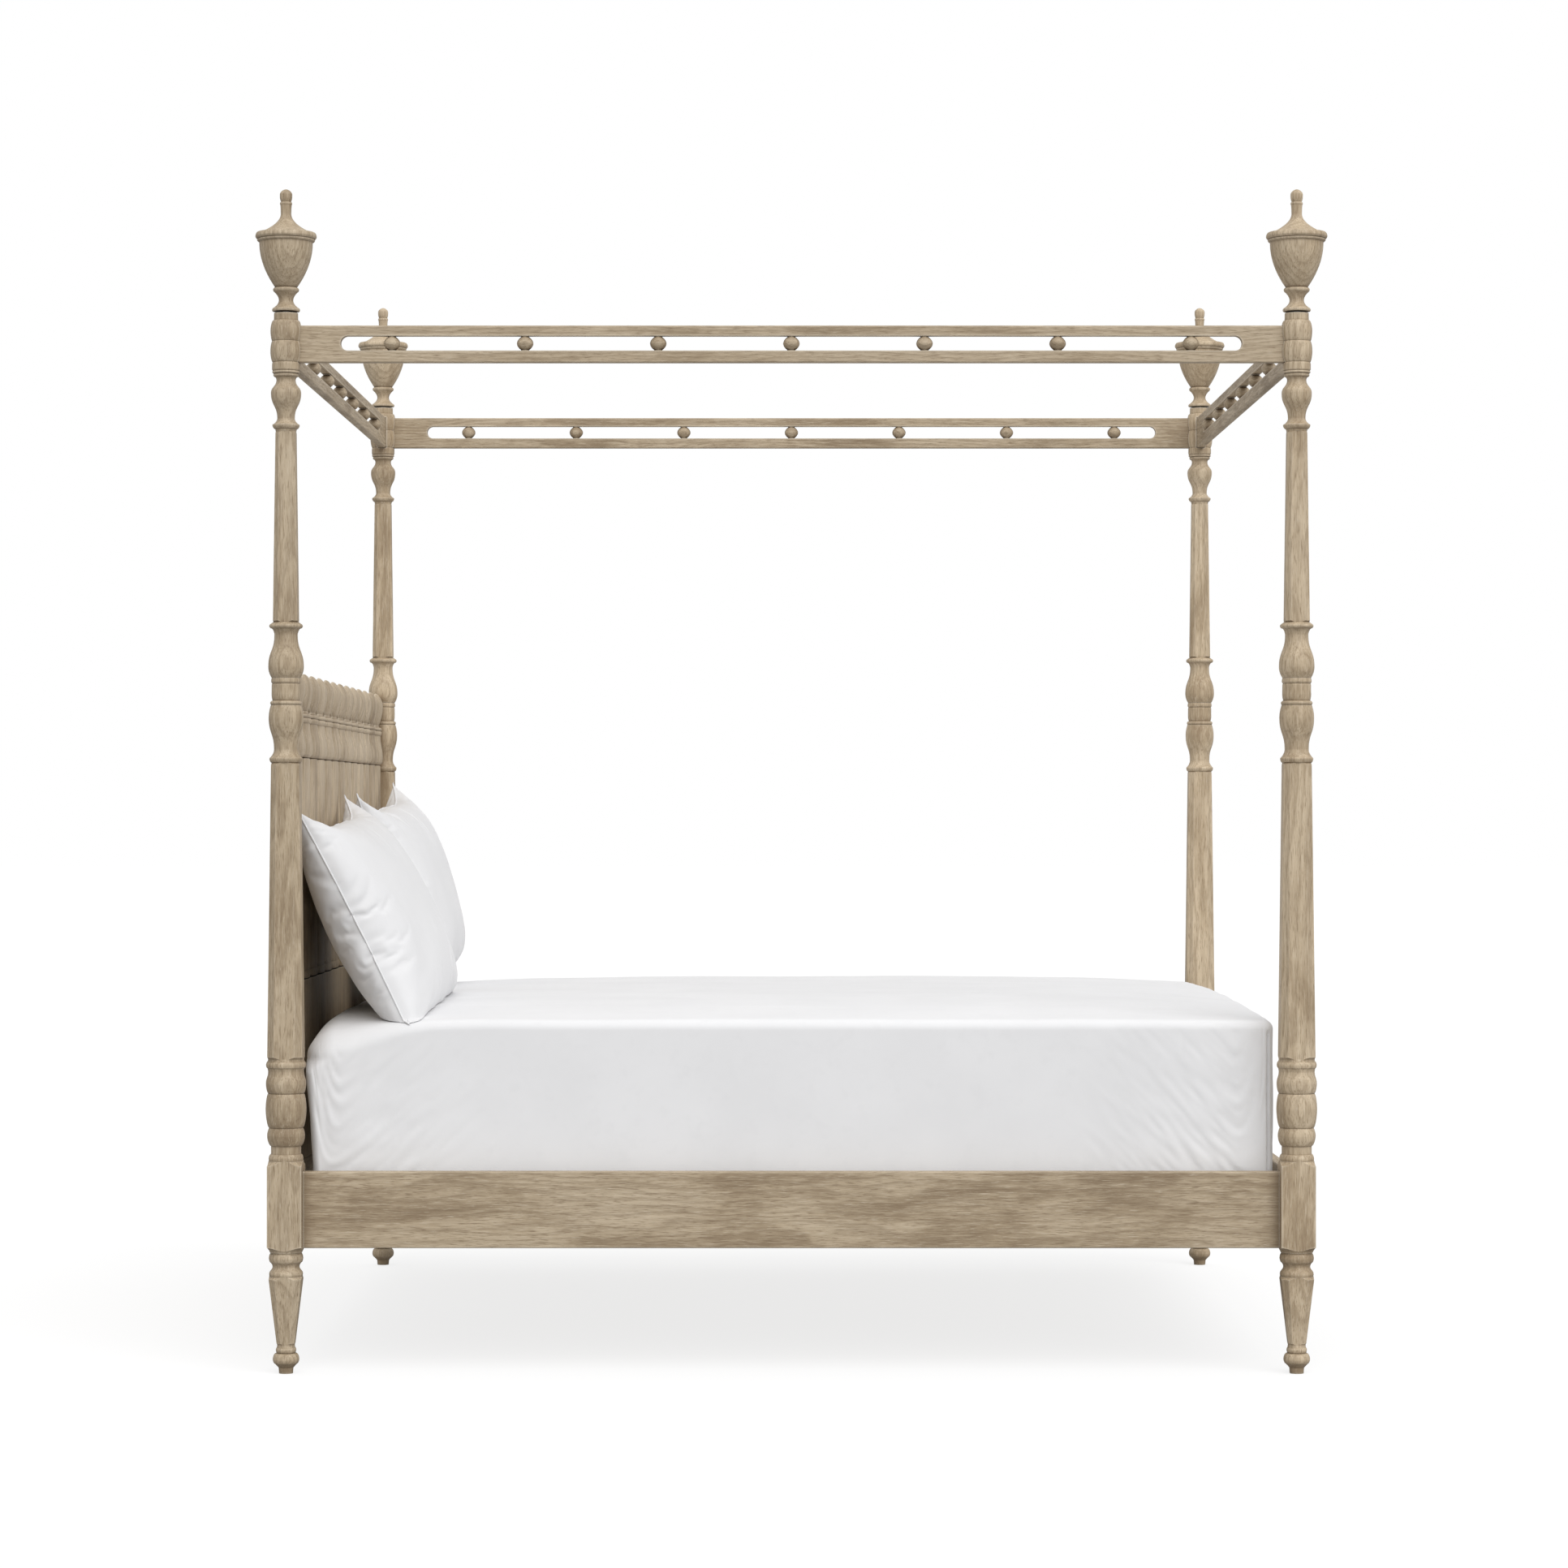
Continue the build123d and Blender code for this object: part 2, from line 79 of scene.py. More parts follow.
# ---- stage ----
FLOOR_REACH = 6.0
FLOOR_GREY = (0.24, 0.24, 0.24, 1.0)
FLOOR_GLOW = (0.78, 0.14)   # as the camera sees it, and as light on other things
WORLD_GLOW = (1.0, 0.68)    # the same
WHITE = (1.0, 1.0, 1.0, 1.0)
SUN_ENERGY = 1.95
SUN_ANGLE = math.radians(60.0)
SUN_DIRECTION = Vector((-0.27, 0.68, -0.74))


# ---------------------------------------------------------------- node helpers
class Shader:
    """A small wrapper that makes and links shader nodes."""

    def __init__(self, name):
        self.material = bpy.data.materials.new(name)
        self.material.use_nodes = True
        self.tree = self.material.node_tree
        self.tree.nodes.clear()
        self.output = self.node("ShaderNodeOutputMaterial")
        self.surface = self.node("ShaderNodeBsdfPrincipled")
        self.link(self.surface.outputs["BSDF"], self.output.inputs["Surface"])

    def node(self, kind, **settings):
        """A new node of a kind, with its settings."""
        made = self.tree.nodes.new(kind)
        for key, value in settings.items():
            setattr(made, key, value)
        return made

    def link(self, source, target):
        self.tree.links.new(source, target)

    def place(self, stretch, turn=(0.0, 0.0, 0.0)):
        """The point on the object, turned and stretched, as texture coordinates."""
        where = self.node("ShaderNodeTexCoord")
        mapping = self.node("ShaderNodeMapping")
        mapping.inputs["Rotation"].default_value = turn
        mapping.inputs["Scale"].default_value = stretch
        self.link(where.outputs["Object"], mapping.inputs["Vector"])
        return mapping.outputs["Vector"]

    def noise(self, place, scale, detail=3.0, rough=0.5, distortion=0.0):
        """Smooth noise, 0 to 1, at texture coordinates."""
        made = self.node("ShaderNodeTexNoise")
        made.inputs["Scale"].default_value = scale
        made.inputs["Detail"].default_value = detail
        made.inputs["Roughness"].default_value = rough
        made.inputs["Distortion"].default_value = distortion
        self.link(place, made.inputs["Vector"])
        return made.outputs["Fac"]

    def ramp(self, value, stops):
        """A colour ramp: stops are (position, grey or colour)."""
        made = self.node("ShaderNodeValToRGB")
        band = made.color_ramp
        while len(band.elements) < len(stops):
            band.elements.new(0.5)
        for element, (position, colour) in zip(band.elements, stops):
            element.position = position
            if isinstance(colour, tuple):
                element.color = (*colour, 1.0)
            else:
                element.color = (colour, colour, colour, 1.0)
        self.link(value, made.inputs["Fac"])
        return made.outputs["Color"]

    def mix(self, share, first, second, way="MIX"):
        """Mixes two colours; each may be a socket or a plain colour, and share a socket or a number."""
        made = self.node("ShaderNodeMix", data_type="RGBA", blend_type=way)
        self._feed(share, made.inputs[0])
        self._feed(first, made.inputs[6])
        self._feed(second, made.inputs[7])
        return made.outputs[2]

    def math(self, way, first, second=0.0):
        """One sum on two values; each may be a socket or a number."""
        made = self.node("ShaderNodeMath", operation=way)
        self._feed(first, made.inputs[0])
        self._feed(second, made.inputs[1])
        return made.outputs[0]

    def _feed(self, value, socket):
        if isinstance(value, bpy.types.NodeSocket):
            self.link(value, socket)
        elif isinstance(value, tuple):
            socket.default_value = (*value, 1.0)
        else:
            socket.default_value = value

    def openness(self, reach, inside=False):
        """How open the surface is within a short reach; inside finds its convex edges instead."""
        made = self.node("ShaderNodeAmbientOcclusion", samples=5, inside=inside, only_local=inside)
        made.inputs["Distance"].default_value = reach
        return made.outputs["AO"]

    def bump(self, height, distance, strength=1.0):
        """Tilts the shading by a height map; the mesh itself stays as it is."""
        made = self.node("ShaderNodeBump")
        made.inputs["Distance"].default_value = distance
        made.inputs["Strength"].default_value = strength
        self.link(height, made.inputs["Height"])
        self.link(made.outputs["Normal"], self.surface.inputs["Normal"])


def stretch_for(axis, along, across):
    """Texture scale per axis: small along the grain, large across it."""
    scales = [across, across, across]
    scales["XYZ".index(axis)] = along
    return tuple(scales)


# ---------------------------------------------------------------- materials
def growth_rings(s, grain, pith):
    """0 to 1 across each year's growth, as thin shells round a wavering heart line along the grain."""
    where = s.node("ShaderNodeTexCoord")
    flat = s.node("ShaderNodeMapping")
    flat.inputs["Scale"].default_value = stretch_for(grain, 0.0, 1.0 / RING_PITCH)
    flat.inputs["Location"].default_value = tuple(-p / RING_PITCH for p in pith)
    s.link(where.outputs["Object"], flat.inputs["Vector"])
    reach = s.node("ShaderNodeVectorMath", operation="LENGTH")
    s.link(flat.outputs["Vector"], reach.inputs[0])
    bend = s.noise(s.place(stretch_for(grain, 24.0, 105.0)), 1.0, 3.0, 0.45)
    return s.math("FRACT", s.math("ADD", reach.outputs["Value"], s.math("MULTIPLY", bend, RING_WAVER)))


def oak(name, grain, pith, tone=1.0):
    """Limed oak: growth rings, lime in the open grain, dark pores, painted shade in creases that stands
    also for dark wax, and pale edges that are partly rubbed wear and partly painted highlight.

    grain is the axis that the wood runs along, and pith a point on the heart line of its tree.
    """
    s = Shader(name)
    clouds = s.noise(s.place(stretch_for(grain, 42.0, 120.0)), 1.0, 4.0, 0.6, 0.5)
    bands = s.noise(s.place(stretch_for(grain, 48.0, 900.0)), 1.0, 3.0, 0.55)
    streaks = s.noise(s.place(stretch_for(grain, 150.0, 2600.0)), 1.0, 4.0, 0.65)
    pores = s.noise(s.place(stretch_for(grain, 460.0, 6800.0)), 1.0, 2.0, 0.6)
    rings = growth_rings(s, grain, pith)

    base, light, dark = (tuple(c * tone for c in colour) for colour in (OAK_BASE, OAK_LIGHT, OAK_DARK))
    colour = s.mix(s.ramp(clouds, [(0.42, 0.0), (0.66, 0.62)]), base, light)
    colour = s.mix(s.ramp(clouds, [(0.28, 0.78), (0.50, 0.0)]), colour, dark)
    colour = s.mix(s.ramp(bands, [(0.30, 0.34), (0.50, 0.0)]), colour, dark)
    colour = s.mix(s.ramp(bands, [(0.54, 0.0), (0.70, 0.30)]), colour, light)
    colour = s.mix(s.ramp(rings, [(0.30, 0.0), (0.82, 0.40), (0.96, 0.0)]), colour, dark)
    colour = s.mix(s.ramp(streaks, [(0.52, 0.0), (0.70, 0.50)]), colour, light)
    colour = s.mix(s.ramp(pores, [(0.32, 0.75), (0.46, 0.0)]), colour, dark)
    colour = s.mix(s.ramp(pores, [(0.60, 0.0), (0.72, 0.45)]), colour, OAK_LIME)

    # Painted shade: the wood is darkened where the surface is closed in, in creases, hollows and between
    # parts, standing also for dark wax.
    colour = s.mix(s.ramp(s.openness(2.4 * MM), [(0.50, 0.85), (0.96, 0.0)]), colour, dark)
    colour = s.mix(s.ramp(s.openness(0.6 * MM), [(0.30, 0.95), (0.80, 0.0)]), colour, OAK_CREASE_SHADE_AND_WAX)
    # Painted highlight: convex edges and bead crests are lightened with lime colour, standing also for
    # rubbed wear.
    worn_edge_highlight = s.ramp(s.openness(0.42 * MM, inside=True), [(0.50, 0.70), (0.88, 0.0)])
    colour = s.mix(worn_edge_highlight, colour, OAK_LIME)
    s.link(colour, s.surface.inputs["Base Color"])

    s.link(s.ramp(streaks, [(0.3, 0.66), (0.7, 0.50)]), s.surface.inputs["Roughness"])
    s.surface.inputs["Specular IOR Level"].default_value = 0.42
    height = s.math("ADD", s.math("MULTIPLY", streaks, 0.8), s.math("MULTIPLY", pores, 0.6))
    s.bump(height, 0.07 * MM, 0.8)
    return s.material


def pine(name):
    """Plain softwood for the slats that nobody sees: paler, with wide soft grain lines."""
    s = Shader(name)
    figure = s.node("ShaderNodeTexWave", wave_type="BANDS", bands_direction="X")
    figure.inputs["Scale"].default_value = 160.0
    figure.inputs["Distortion"].default_value = 5.0
    figure.inputs["Detail"].default_value = 2.0
    figure.inputs["Detail Scale"].default_value = 0.5
    s.link(s.place((1.0, 0.07, 1.0)), figure.inputs["Vector"])
    streaks = s.noise(s.place((1400.0, 60.0, 1400.0)), 1.0, 4.0, 0.6)
    dark = tuple(c * 0.62 for c in PINE_BASE)
    light = tuple(min(1.0, c * 1.2) for c in PINE_BASE)
    colour = s.mix(s.ramp(figure.outputs["Fac"], [(0.1, 0.7), (0.6, 0.0)]), PINE_BASE, dark)
    colour = s.mix(s.ramp(streaks, [(0.5, 0.0), (0.72, 0.6)]), colour, light)
    s.link(colour, s.surface.inputs["Base Color"])
    s.link(s.ramp(streaks, [(0.3, 0.8), (0.7, 0.62)]), s.surface.inputs["Roughness"])
    s.bump(streaks, 0.04 * MM, 0.6)
    return s.material


def cotton(name, turn=(0.0, 0.0, 0.0), tone=1.0):
    """Smooth white percale: a fine plain weave, slubs, soft patches of tone and a little sheen."""
    s = Shader(name)
    white, soiled, slubbed = (tuple(c * tone * share for c in COTTON) for share in (1.0, 0.965, 0.93))
    threads = []
    for direction in ("X", "Y", "Z"):
        wave = s.node("ShaderNodeTexWave", wave_type="BANDS", bands_direction=direction)
        wave.inputs["Scale"].default_value = 2600.0
        wave.inputs["Distortion"].default_value = 0.6
        wave.inputs["Detail"].default_value = 1.0
        s.link(s.place((1.0, 1.0, 1.0), turn), wave.inputs["Vector"])
        threads.append(wave.outputs["Fac"])
    weave = s.math("ADD", s.math("ADD", threads[0], threads[1]), threads[2])
    soft = s.noise(s.place((60.0, 60.0, 60.0), turn), 1.0, 4.0, 0.55)
    slub = s.noise(s.place((400.0, 1600.0, 400.0), turn), 1.0, 2.0, 0.5)
    colour = s.mix(s.ramp(soft, [(0.35, 0.0), (0.65, 1.0)]), soiled, white)
    colour = s.mix(s.ramp(slub, [(0.55, 0.0), (0.75, 0.35)]), colour, slubbed)
    s.link(colour, s.surface.inputs["Base Color"])
    s.link(s.ramp(soft, [(0.3, 0.88), (0.7, 0.78)]), s.surface.inputs["Roughness"])
    s.surface.inputs["Specular IOR Level"].default_value = 0.25
    s.surface.inputs["Sheen Weight"].default_value = 0.18
    s.surface.inputs["Sheen Roughness"].default_value = 0.5
    height = s.math("ADD", s.math("MULTIPLY", weave, 0.28), slub)
    s.bump(height, 0.006 * MM, 0.7)
    return s.material


def steel(name):
    """Drawn steel pin, with fine lines along its length."""
    s = Shader(name)
    lines = s.noise(s.place((3200.0, 3200.0, 90.0)), 1.0, 3.0, 0.6)
    colour = s.mix(s.ramp(lines, [(0.35, 0.0), (0.7, 1.0)]), tuple(c * 0.7 for c in STEEL), STEEL)
    s.link(colour, s.surface.inputs["Base Color"])
    s.link(s.ramp(lines, [(0.3, 0.42), (0.7, 0.28)]), s.surface.inputs["Roughness"])
    s.surface.inputs["Metallic"].default_value = 1.0
    s.bump(lines, 0.01 * MM, 0.5)
    return s.material


def dress_wood():
    """Every CAD node that stays in view gets its material."""
    woods = {
        "panel": oak("oak_headboard", "Z", (-0.12, 0.05, 0.0), PANEL_TONE),
        "side": oak("oak_side_rails", "X", (0.0, 0.0, -0.02)),
        "end": oak("oak_end_rails", "Y", (0.0, 0.0, -0.02)),
        "beads": oak("oak_beads", "X", (0.0, 0.0, 0.15)),
        "slat": pine("slat_pine"),
        "pin": steel("pin_steel"),
    }
    for corner, (x, y) in post_axes().items():
        pith = (x + PITH_OFFSET[0], y + PITH_OFFSET[1], 0.0)
        # each post's tone carries painted light as well as its own tone
        woods[corner] = oak(f"oak_post_{corner}", "Z", pith, POST_TONES_AND_LIGHT[corner])
    for name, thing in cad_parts.items():
        if name in SOFT_NODES:
            continue
        thing.data.materials.clear()
        thing.data.materials.append(woods[wood_for(name)])


def post_axes():
    """Where each post stands, from the box of its lower half."""
    axes = {}
    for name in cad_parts:
        if name.startswith("lower_post_"):
            low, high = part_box(name)
            axes[name.removeprefix("lower_post_")] = ((low[0] + high[0]) / 2, (low[1] + high[1]) / 2)
    return axes


def wood_for(name):
    """Which material a CAD node takes."""
    if name.startswith("finial_pin"):
        return "pin"
    for start in ("lower_post_", "upper_post_", "finial_"):
        if name.startswith(start):
            return name.removeprefix(start)
    if name.startswith(("headboard", "head_spindle")):
        return "panel"
    if "beads" in name:
        return "beads"
    if name.startswith("slat"):
        return "slat"
    return "side" if name.endswith(("_right", "_left")) else "end"


# ---------------------------------------------------------------- meshes
def mesh_object(name, points, faces, material):
    """A smooth mesh object in the scene."""
    mesh = bpy.data.meshes.new(name)
    mesh.from_pydata([tuple(p) for p in points], [], [tuple(f) for f in faces])
    mesh.update()
    thing = bpy.data.objects.new(name, mesh)
    bpy.context.scene.collection.objects.link(thing)
    thing.data.materials.append(material)
    mesh.polygons.foreach_set("use_smooth", [True] * len(mesh.polygons))
    return thing


def smooth_step(x):
    """0 below 0, 1 above 1, and an even S between."""
    x = np.clip(x, 0.0, 1.0)
    return x * x * (3.0 - 2.0 * x)


def noise_at(u, v, w=0.0):
    """Smooth noise, about -1 to 1, for arrays of places."""
    u, v, w = np.broadcast_arrays(u, v, w)
    flat = [noise.noise(Vector(p)) for p in zip(u.ravel(), v.ravel(), w.ravel())]
    return np.array(flat).reshape(u.shape)


# ---------------------------------------------------------------- mattress
class MattressShape:
    """The covered mattress: a crowned slab with soft head corners, crisp foot corners and drag folds."""

    EDGE_ROUND = 1.6 * MM
    HEAD_ROUND = 4.0 * MM     # what the top of the head end adds to the rounding
    CROWN = 2.7 * MM          # how far the middle of the top stands above its edges
    SEAM_IN = 1.0 * MM        # the corner seam of the cover, from the end of the mattress
    FOLD_REACH = 42.0 * MM    # how far the folds run from a corner
    FOLD_DEPTH = 0.30 * MM
    SEAM_DEPTH = 0.8 * MM
    SEAM_HALF = 0.2 * MM      # half the width of the groove beside the seam
    END_CROWN = 1.1 * MM      # how far the middle of the foot edge stands above its corners
    TUCK_IN = 1.9 * MM        # how far the head end leans in towards its bottom edge
    SLUMP = 2.3 * MM          # how far the top sinks at each head corner
    SLUMP_REACH = 14.0 * MM
    RIPPLE = 0.16 * MM        # unevenness of the top

    def __init__(self):
        low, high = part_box("mattress")
        self.low, self.high = np.array(low), np.array(high)
        self.middle = (self.low + self.high) / 2
        self.half = (self.high - self.low) / 2

    def edge_round(self, x, z):
        """Rounding radius: large along the top at the head end, small everywhere else."""
        head = smooth_step((-x / self.half[0] - 0.72) / 0.28)
        upper = smooth_step((z - self.half[2] + 9.0 * MM) / (4.0 * MM))
        return self.EDGE_ROUND + self.HEAD_ROUND * head * upper

    def crown(self, x, y):
        """Extra height of the top at a place relative to the middle."""
        share_x, share_y = np.clip(x / self.half[0], -1, 1), np.clip(y / self.half[1], -1, 1)
        across = (1 - np.abs(share_x) ** 3.2) * (1 - share_y ** 4)
        end = self.END_CROWN * smooth_step(share_x) * (1 - share_y ** 2)
        from_corner = np.hypot(x + self.half[0], self.half[1] - np.abs(y))
        slump = self.SLUMP * np.exp(-(from_corner / self.SLUMP_REACH) ** 2)
        return self.CROWN * across + end - slump

    def ripple(self, x, y):
        """Soft unevenness of the top at a place relative to the middle."""
        broad = noise_at(x / (34.0 * MM), y / (9.0 * MM), 5.0)
        small = noise_at(x / (15.0 * MM), y / (4.0 * MM), 9.0)
        return self.RIPPLE * (broad + 0.4 * small)

    def top_at(self, x, y):
        """Height of the top of the mattress at a place in the bed's frame."""
        x, y = x - self.middle[0], y - self.middle[1]
        r = self.edge_round(x, self.half[2])
        over_x = np.maximum(0.0, np.abs(x) - self.half[0] + r)
        over_y = np.maximum(0.0, np.abs(y) - self.half[1] + r)
        over = np.minimum(r, np.hypot(over_x, over_y))
        drop = r - np.sqrt(np.maximum(0.0, r * r - over * over))
        return self.high[2] + self.crown(x, y) + self.ripple(x, y) - drop

    def folds(self, along, height, seed):
        """Depth of the drag folds on a side, from the distances to its nearer corner and to the rail."""
        turn = smooth_step(along / (7.0 * MM))
        across = (along - 0.9 * height * turn) / (1.8 * MM)
        length = (along + height) / (8.0 * MM)
        wave = noise_at(across, length, seed) + 0.45 * noise_at(2.1 * across, 1.3 * length, seed + 7.0)
        ridge = np.sign(wave) * np.abs(wave) ** 0.8
        near = (1.0 - smooth_step(along / self.FOLD_REACH)) * (1.0 - 0.75 * height / (2 * self.half[2]))
        start = smooth_step(along / (2.0 * MM))
        return self.FOLD_DEPTH * ridge * near * start

    def seam_groove(self, along):
        """A narrow groove beside each foot corner, where the cover is sewn."""
        return self.SEAM_DEPTH * np.exp(-((along - self.SEAM_IN) / self.SEAM_HALF) ** 2)

    def place(self, p):
        """Moves points of the plain box to the covered shape. p is relative to the box's middle."""
        half = self.half
        r = self.edge_round(p[:, 0], p[:, 2])[:, None]
        inner = np.clip(p, -half + r, half - r)
        out = p - inner
        size = np.linalg.norm(out, axis=1, keepdims=True)
        normal = out / np.maximum(size, 1e-9)
        q = inner + normal * r
        top = smooth_step((q[:, 2] / half[2] - 0.2) / 0.8)
        height = q[:, 2] + half[2]
        x_in, y_in = half[0] - np.abs(q[:, 0]), half[1] - np.abs(q[:, 1])
        seed = np.where(q[:, 0] < 0, 3.0, 19.0) + np.where(q[:, 1] < 0, 0.0, 40.0)
        push = self.folds(x_in, height, seed) * np.abs(normal[:, 1])
        push += self.folds(y_in, height, seed + 90.0) * np.abs(normal[:, 0])
        foot = (q[:, 0] > 0) * smooth_step((half[2] - 1.5 * MM - q[:, 2]) / (1.5 * MM))
        push -= self.seam_groove(x_in) * np.abs(normal[:, 1]) ** 4 * foot
        flank = 1.0 - np.abs(normal[:, 2])
        q += normal * (push * flank)[:, None]
        rise = self.crown(q[:, 0], q[:, 1]) + self.ripple(q[:, 0], q[:, 1])
        head = smooth_step((-q[:, 0] / half[0] - 0.93) / 0.07)
        q[:, 0] += self.TUCK_IN * head * smooth_step(1.0 - height / (2 * half[2]))
        q[:, 2] += rise * top
        return self.middle + q


def graded(half, fine, fine_to, middle_to, middle_step, coarse):
    """Places from -half to half: finest at the two ends, coarsest in the middle."""
    ends = np.arange(0.0, fine_to, fine)
    nearer = np.arange(fine_to, middle_to, middle_step)
    rest = np.linspace(middle_to, half, max(2, round((half - middle_to) / coarse)) + 1)
    out = np.concatenate([ends, nearer, rest[:-1]]) - half
    return np.concatenate([out, [0.0], -out[::-1]])


def box_quads(counts):
    """The outer faces of a block of points, counts along each axis, numbered with Z running fastest."""
    quads = []
    for axis in range(3):
        a, b = (axis + 1) % 3, (axis + 2) % 3
        ia, ib = np.meshgrid(np.arange(counts[a] - 1), np.arange(counts[b] - 1), indexing="ij")
        for side in (0, counts[axis] - 1):
            rings = []
            for da, db in ((0, 0), (1, 0), (1, 1), (0, 1)):
                where = np.empty((ia.size, 3), dtype=np.int64)
                where[:, axis] = side
                where[:, a], where[:, b] = (ia + da).ravel(), (ib + db).ravel()
                rings.append((where[:, 0] * counts[1] + where[:, 1]) * counts[2] + where[:, 2])
            ring = np.stack(rings, axis=1)
            quads.append(ring if side else ring[:, ::-1])
    return np.concatenate(quads)


def make_mattress(shape, material):
    """The cover: a box of quads, finest at its edges and corners, moved to the covered shape."""
    half = shape.half
    marks = [
        graded(half[0], 0.12 * MM, 2.4 * MM, 44.0 * MM, 0.5 * MM, 1.6 * MM),
        graded(half[1], 0.3 * MM, 2.4 * MM, 30.0 * MM, 0.8 * MM, 1.6 * MM),
        graded(half[2], 0.3 * MM, 2.4 * MM, 6.0 * MM, 0.5 * MM, 0.5 * MM),
    ]
    counts = [len(m) for m in marks]
    quads = box_quads(counts)
    keys, faces = np.unique(quads, return_inverse=True)
    i, j, k = keys // (counts[1] * counts[2]), keys // counts[2] % counts[1], keys % counts[2]
    plain = np.stack([marks[0][i], marks[1][j], marks[2][k]], axis=1)
    faces = faces.reshape(quads.shape).tolist()
    return mesh_object("mattress_cover", shape.place(plain).tolist(), faces, material)


# ---------------------------------------------------------------- pillows
FULL_SIZE = 12.0            # the pillows are blown up at full size, then brought down to scale
PILLOW_CELLS = (132, 80)
PUCKER_HEIGHT = 0.0115      # at full size
FOLD_HEIGHT = 0.0050        # at full size
ROLL = math.radians(2.0)
SEAM_RADIUS = 0.17 * MM
CASE_CLEAR = 0.15 * MM      # air left between a case and the mattress
BOARD_CLEAR = 0.1 * MM      # the plane that a case is pressed to, in front of the spindles
BOARD_PRESS = 0.94          # share of what lies behind that plane that is pressed out
BACK_PRESS = 0.95           # thickness of the back half of a case, as a share of what it was
SPREAD_LIMIT = 3.0 * MM     # the deepest dip into the mattress that still spreads the case
SPREAD = (0.5, -0.2)        # how far a dip spreads the front and the back of a case, per depth
PRESSURE = 4.0
SETTLE_FRAMES = 18
STUFFED = np.array([0.97, 0.97, 0.95])   # size before it is blown up, as a share of the size wanted
# Size in mm, lean in degrees, and the foot from the front, middle and bottom of the CAD solid in mm.
PILLOWS = {
    "right": {"size": (77.5, 45.4, 17.0), "lean": 26.8, "foot": (-3.6, -2.2, -2.2), "seed": 3.0},
    "left": {"size": (73.5, 42.2, 17.5), "lean": 16.6, "foot": (-10.3, 0.1, 0.8), "seed": 11.0},
}


def puckers(u, v, seed):
    """Small gathers that run in from the seams, at full size in metres."""
    total = np.zeros_like(u)
    for edge, along in ((v, u), (-v, u), (u, v), (-u, v)):
        inward = 1.0 - edge
        drift = along + 0.35 * noise_at(3.0 * along, 2.5 * edge, seed + 5.0)
        wide = noise_at(9.0 * drift + 2.0 * inward, 2.2 * edge, seed)
        fine = noise_at(19.0 * drift - 4.0 * inward, 3.0 * edge, seed + 31.0)
        crisp = np.sign(fine) * np.abs(fine) ** 0.75
        total += 0.55 * np.exp(-inward / 0.15) * wide + 0.60 * np.exp(-inward / 0.07) * crisp
        seed += 13.0
    folds = noise_at(2.4 * u + 1.5 * v, 7.5 * v - 2.5 * u, seed)
    low = 0.35 + 0.65 * smooth_step(-v)
    return PUCKER_HEIGHT * total + FOLD_HEIGHT * folds * low


def plump_pillow(size, seed):
    """A stuffed case as two sheets joined round the edge: pointed ears, sagging top, heavy bottom."""
    nu, nv = PILLOW_CELLS
    u, v = np.meshgrid(np.linspace(-1, 1, nu + 1), np.linspace(-1, 1, nv + 1), indexing="ij")
    wide, high, thick = size
    x = wide / 2 * u * (1 - 0.030 * (1 - v ** 2))
    dip = np.where(v > 0, 0.16, 0.06) * (1 - np.abs(u) ** 7) * np.abs(v) ** 3
    y = high / 2 * v * (1 - dip)
    span = np.clip(1 - np.abs(u) ** 3.0, 0, 1) ** 0.5
    upper, lower = np.clip(1 - v ** 2, 0, 1) ** 0.5, np.clip(1 - v ** 6, 0, 1) ** 0.5
    swell = span * np.where(v > 0, upper, lower)
    points, faces, index = [], [], {}
    for side in (1, -1):
        half = thick / 2 * swell * (1.0 if side > 0 else 0.9)
        z = side * (half + puckers(u, v, seed + 50.0 * side) * np.minimum(1.0, 3.0 * swell))
        ids = np.empty(u.shape, dtype=int)
        for i in range(nu + 1):
            for j in range(nv + 1):
                rim = i in (0, nu) or j in (0, nv)
                key = (0 if rim else side, i, j)
                if key not in index:
                    index[key] = len(points)
                    points.append((x[i, j], y[i, j], 0.0 if rim else z[i, j]))
                ids[i, j] = index[key]
        quads = np.stack([ids[:-1, :-1], ids[1:, :-1], ids[1:, 1:], ids[:-1, 1:]], axis=-1).reshape(-1, 4)
        faces.extend((quads if side > 0 else quads[:, ::-1]).tolist())
    # The two sheets share their rim points, so either sheet's numbers serve.
    rim = [*ids[:-1, 0], *ids[-1, :-1], *ids[:0:-1, -1], *ids[0, :0:-1]]
    return points, faces, rim


def inflate(thing, pressure, frames):
    """Blows the case up a little with Blender's cloth simulation and returns where it settles."""
    scene = bpy.context.scene
    cloth = thing.modifiers.new("blow_up", "CLOTH")
    cloth.settings.quality = 5
    cloth.settings.mass = 0.25
    cloth.settings.tension_stiffness = 40.0
    cloth.settings.compression_stiffness = 15.0
    cloth.settings.shear_stiffness = 8.0
    cloth.settings.bending_stiffness = 0.4
    cloth.settings.air_damping = 4.0
    cloth.settings.use_pressure = True
    cloth.settings.uniform_pressure_force = pressure
    cloth.settings.effector_weights.gravity = 0.0
    cloth.collision_settings.use_collision = False
    cloth.point_cache.frame_start = 1
    cloth.point_cache.frame_end = frames
    for number in range(1, frames + 1):
        scene.frame_set(number)
    settled = thing.evaluated_get(bpy.context.evaluated_depsgraph_get())
    result = np.array([v.co[:] for v in settled.data.vertices])
    thing.modifiers.clear()
    scene.frame_set(1)
    return result


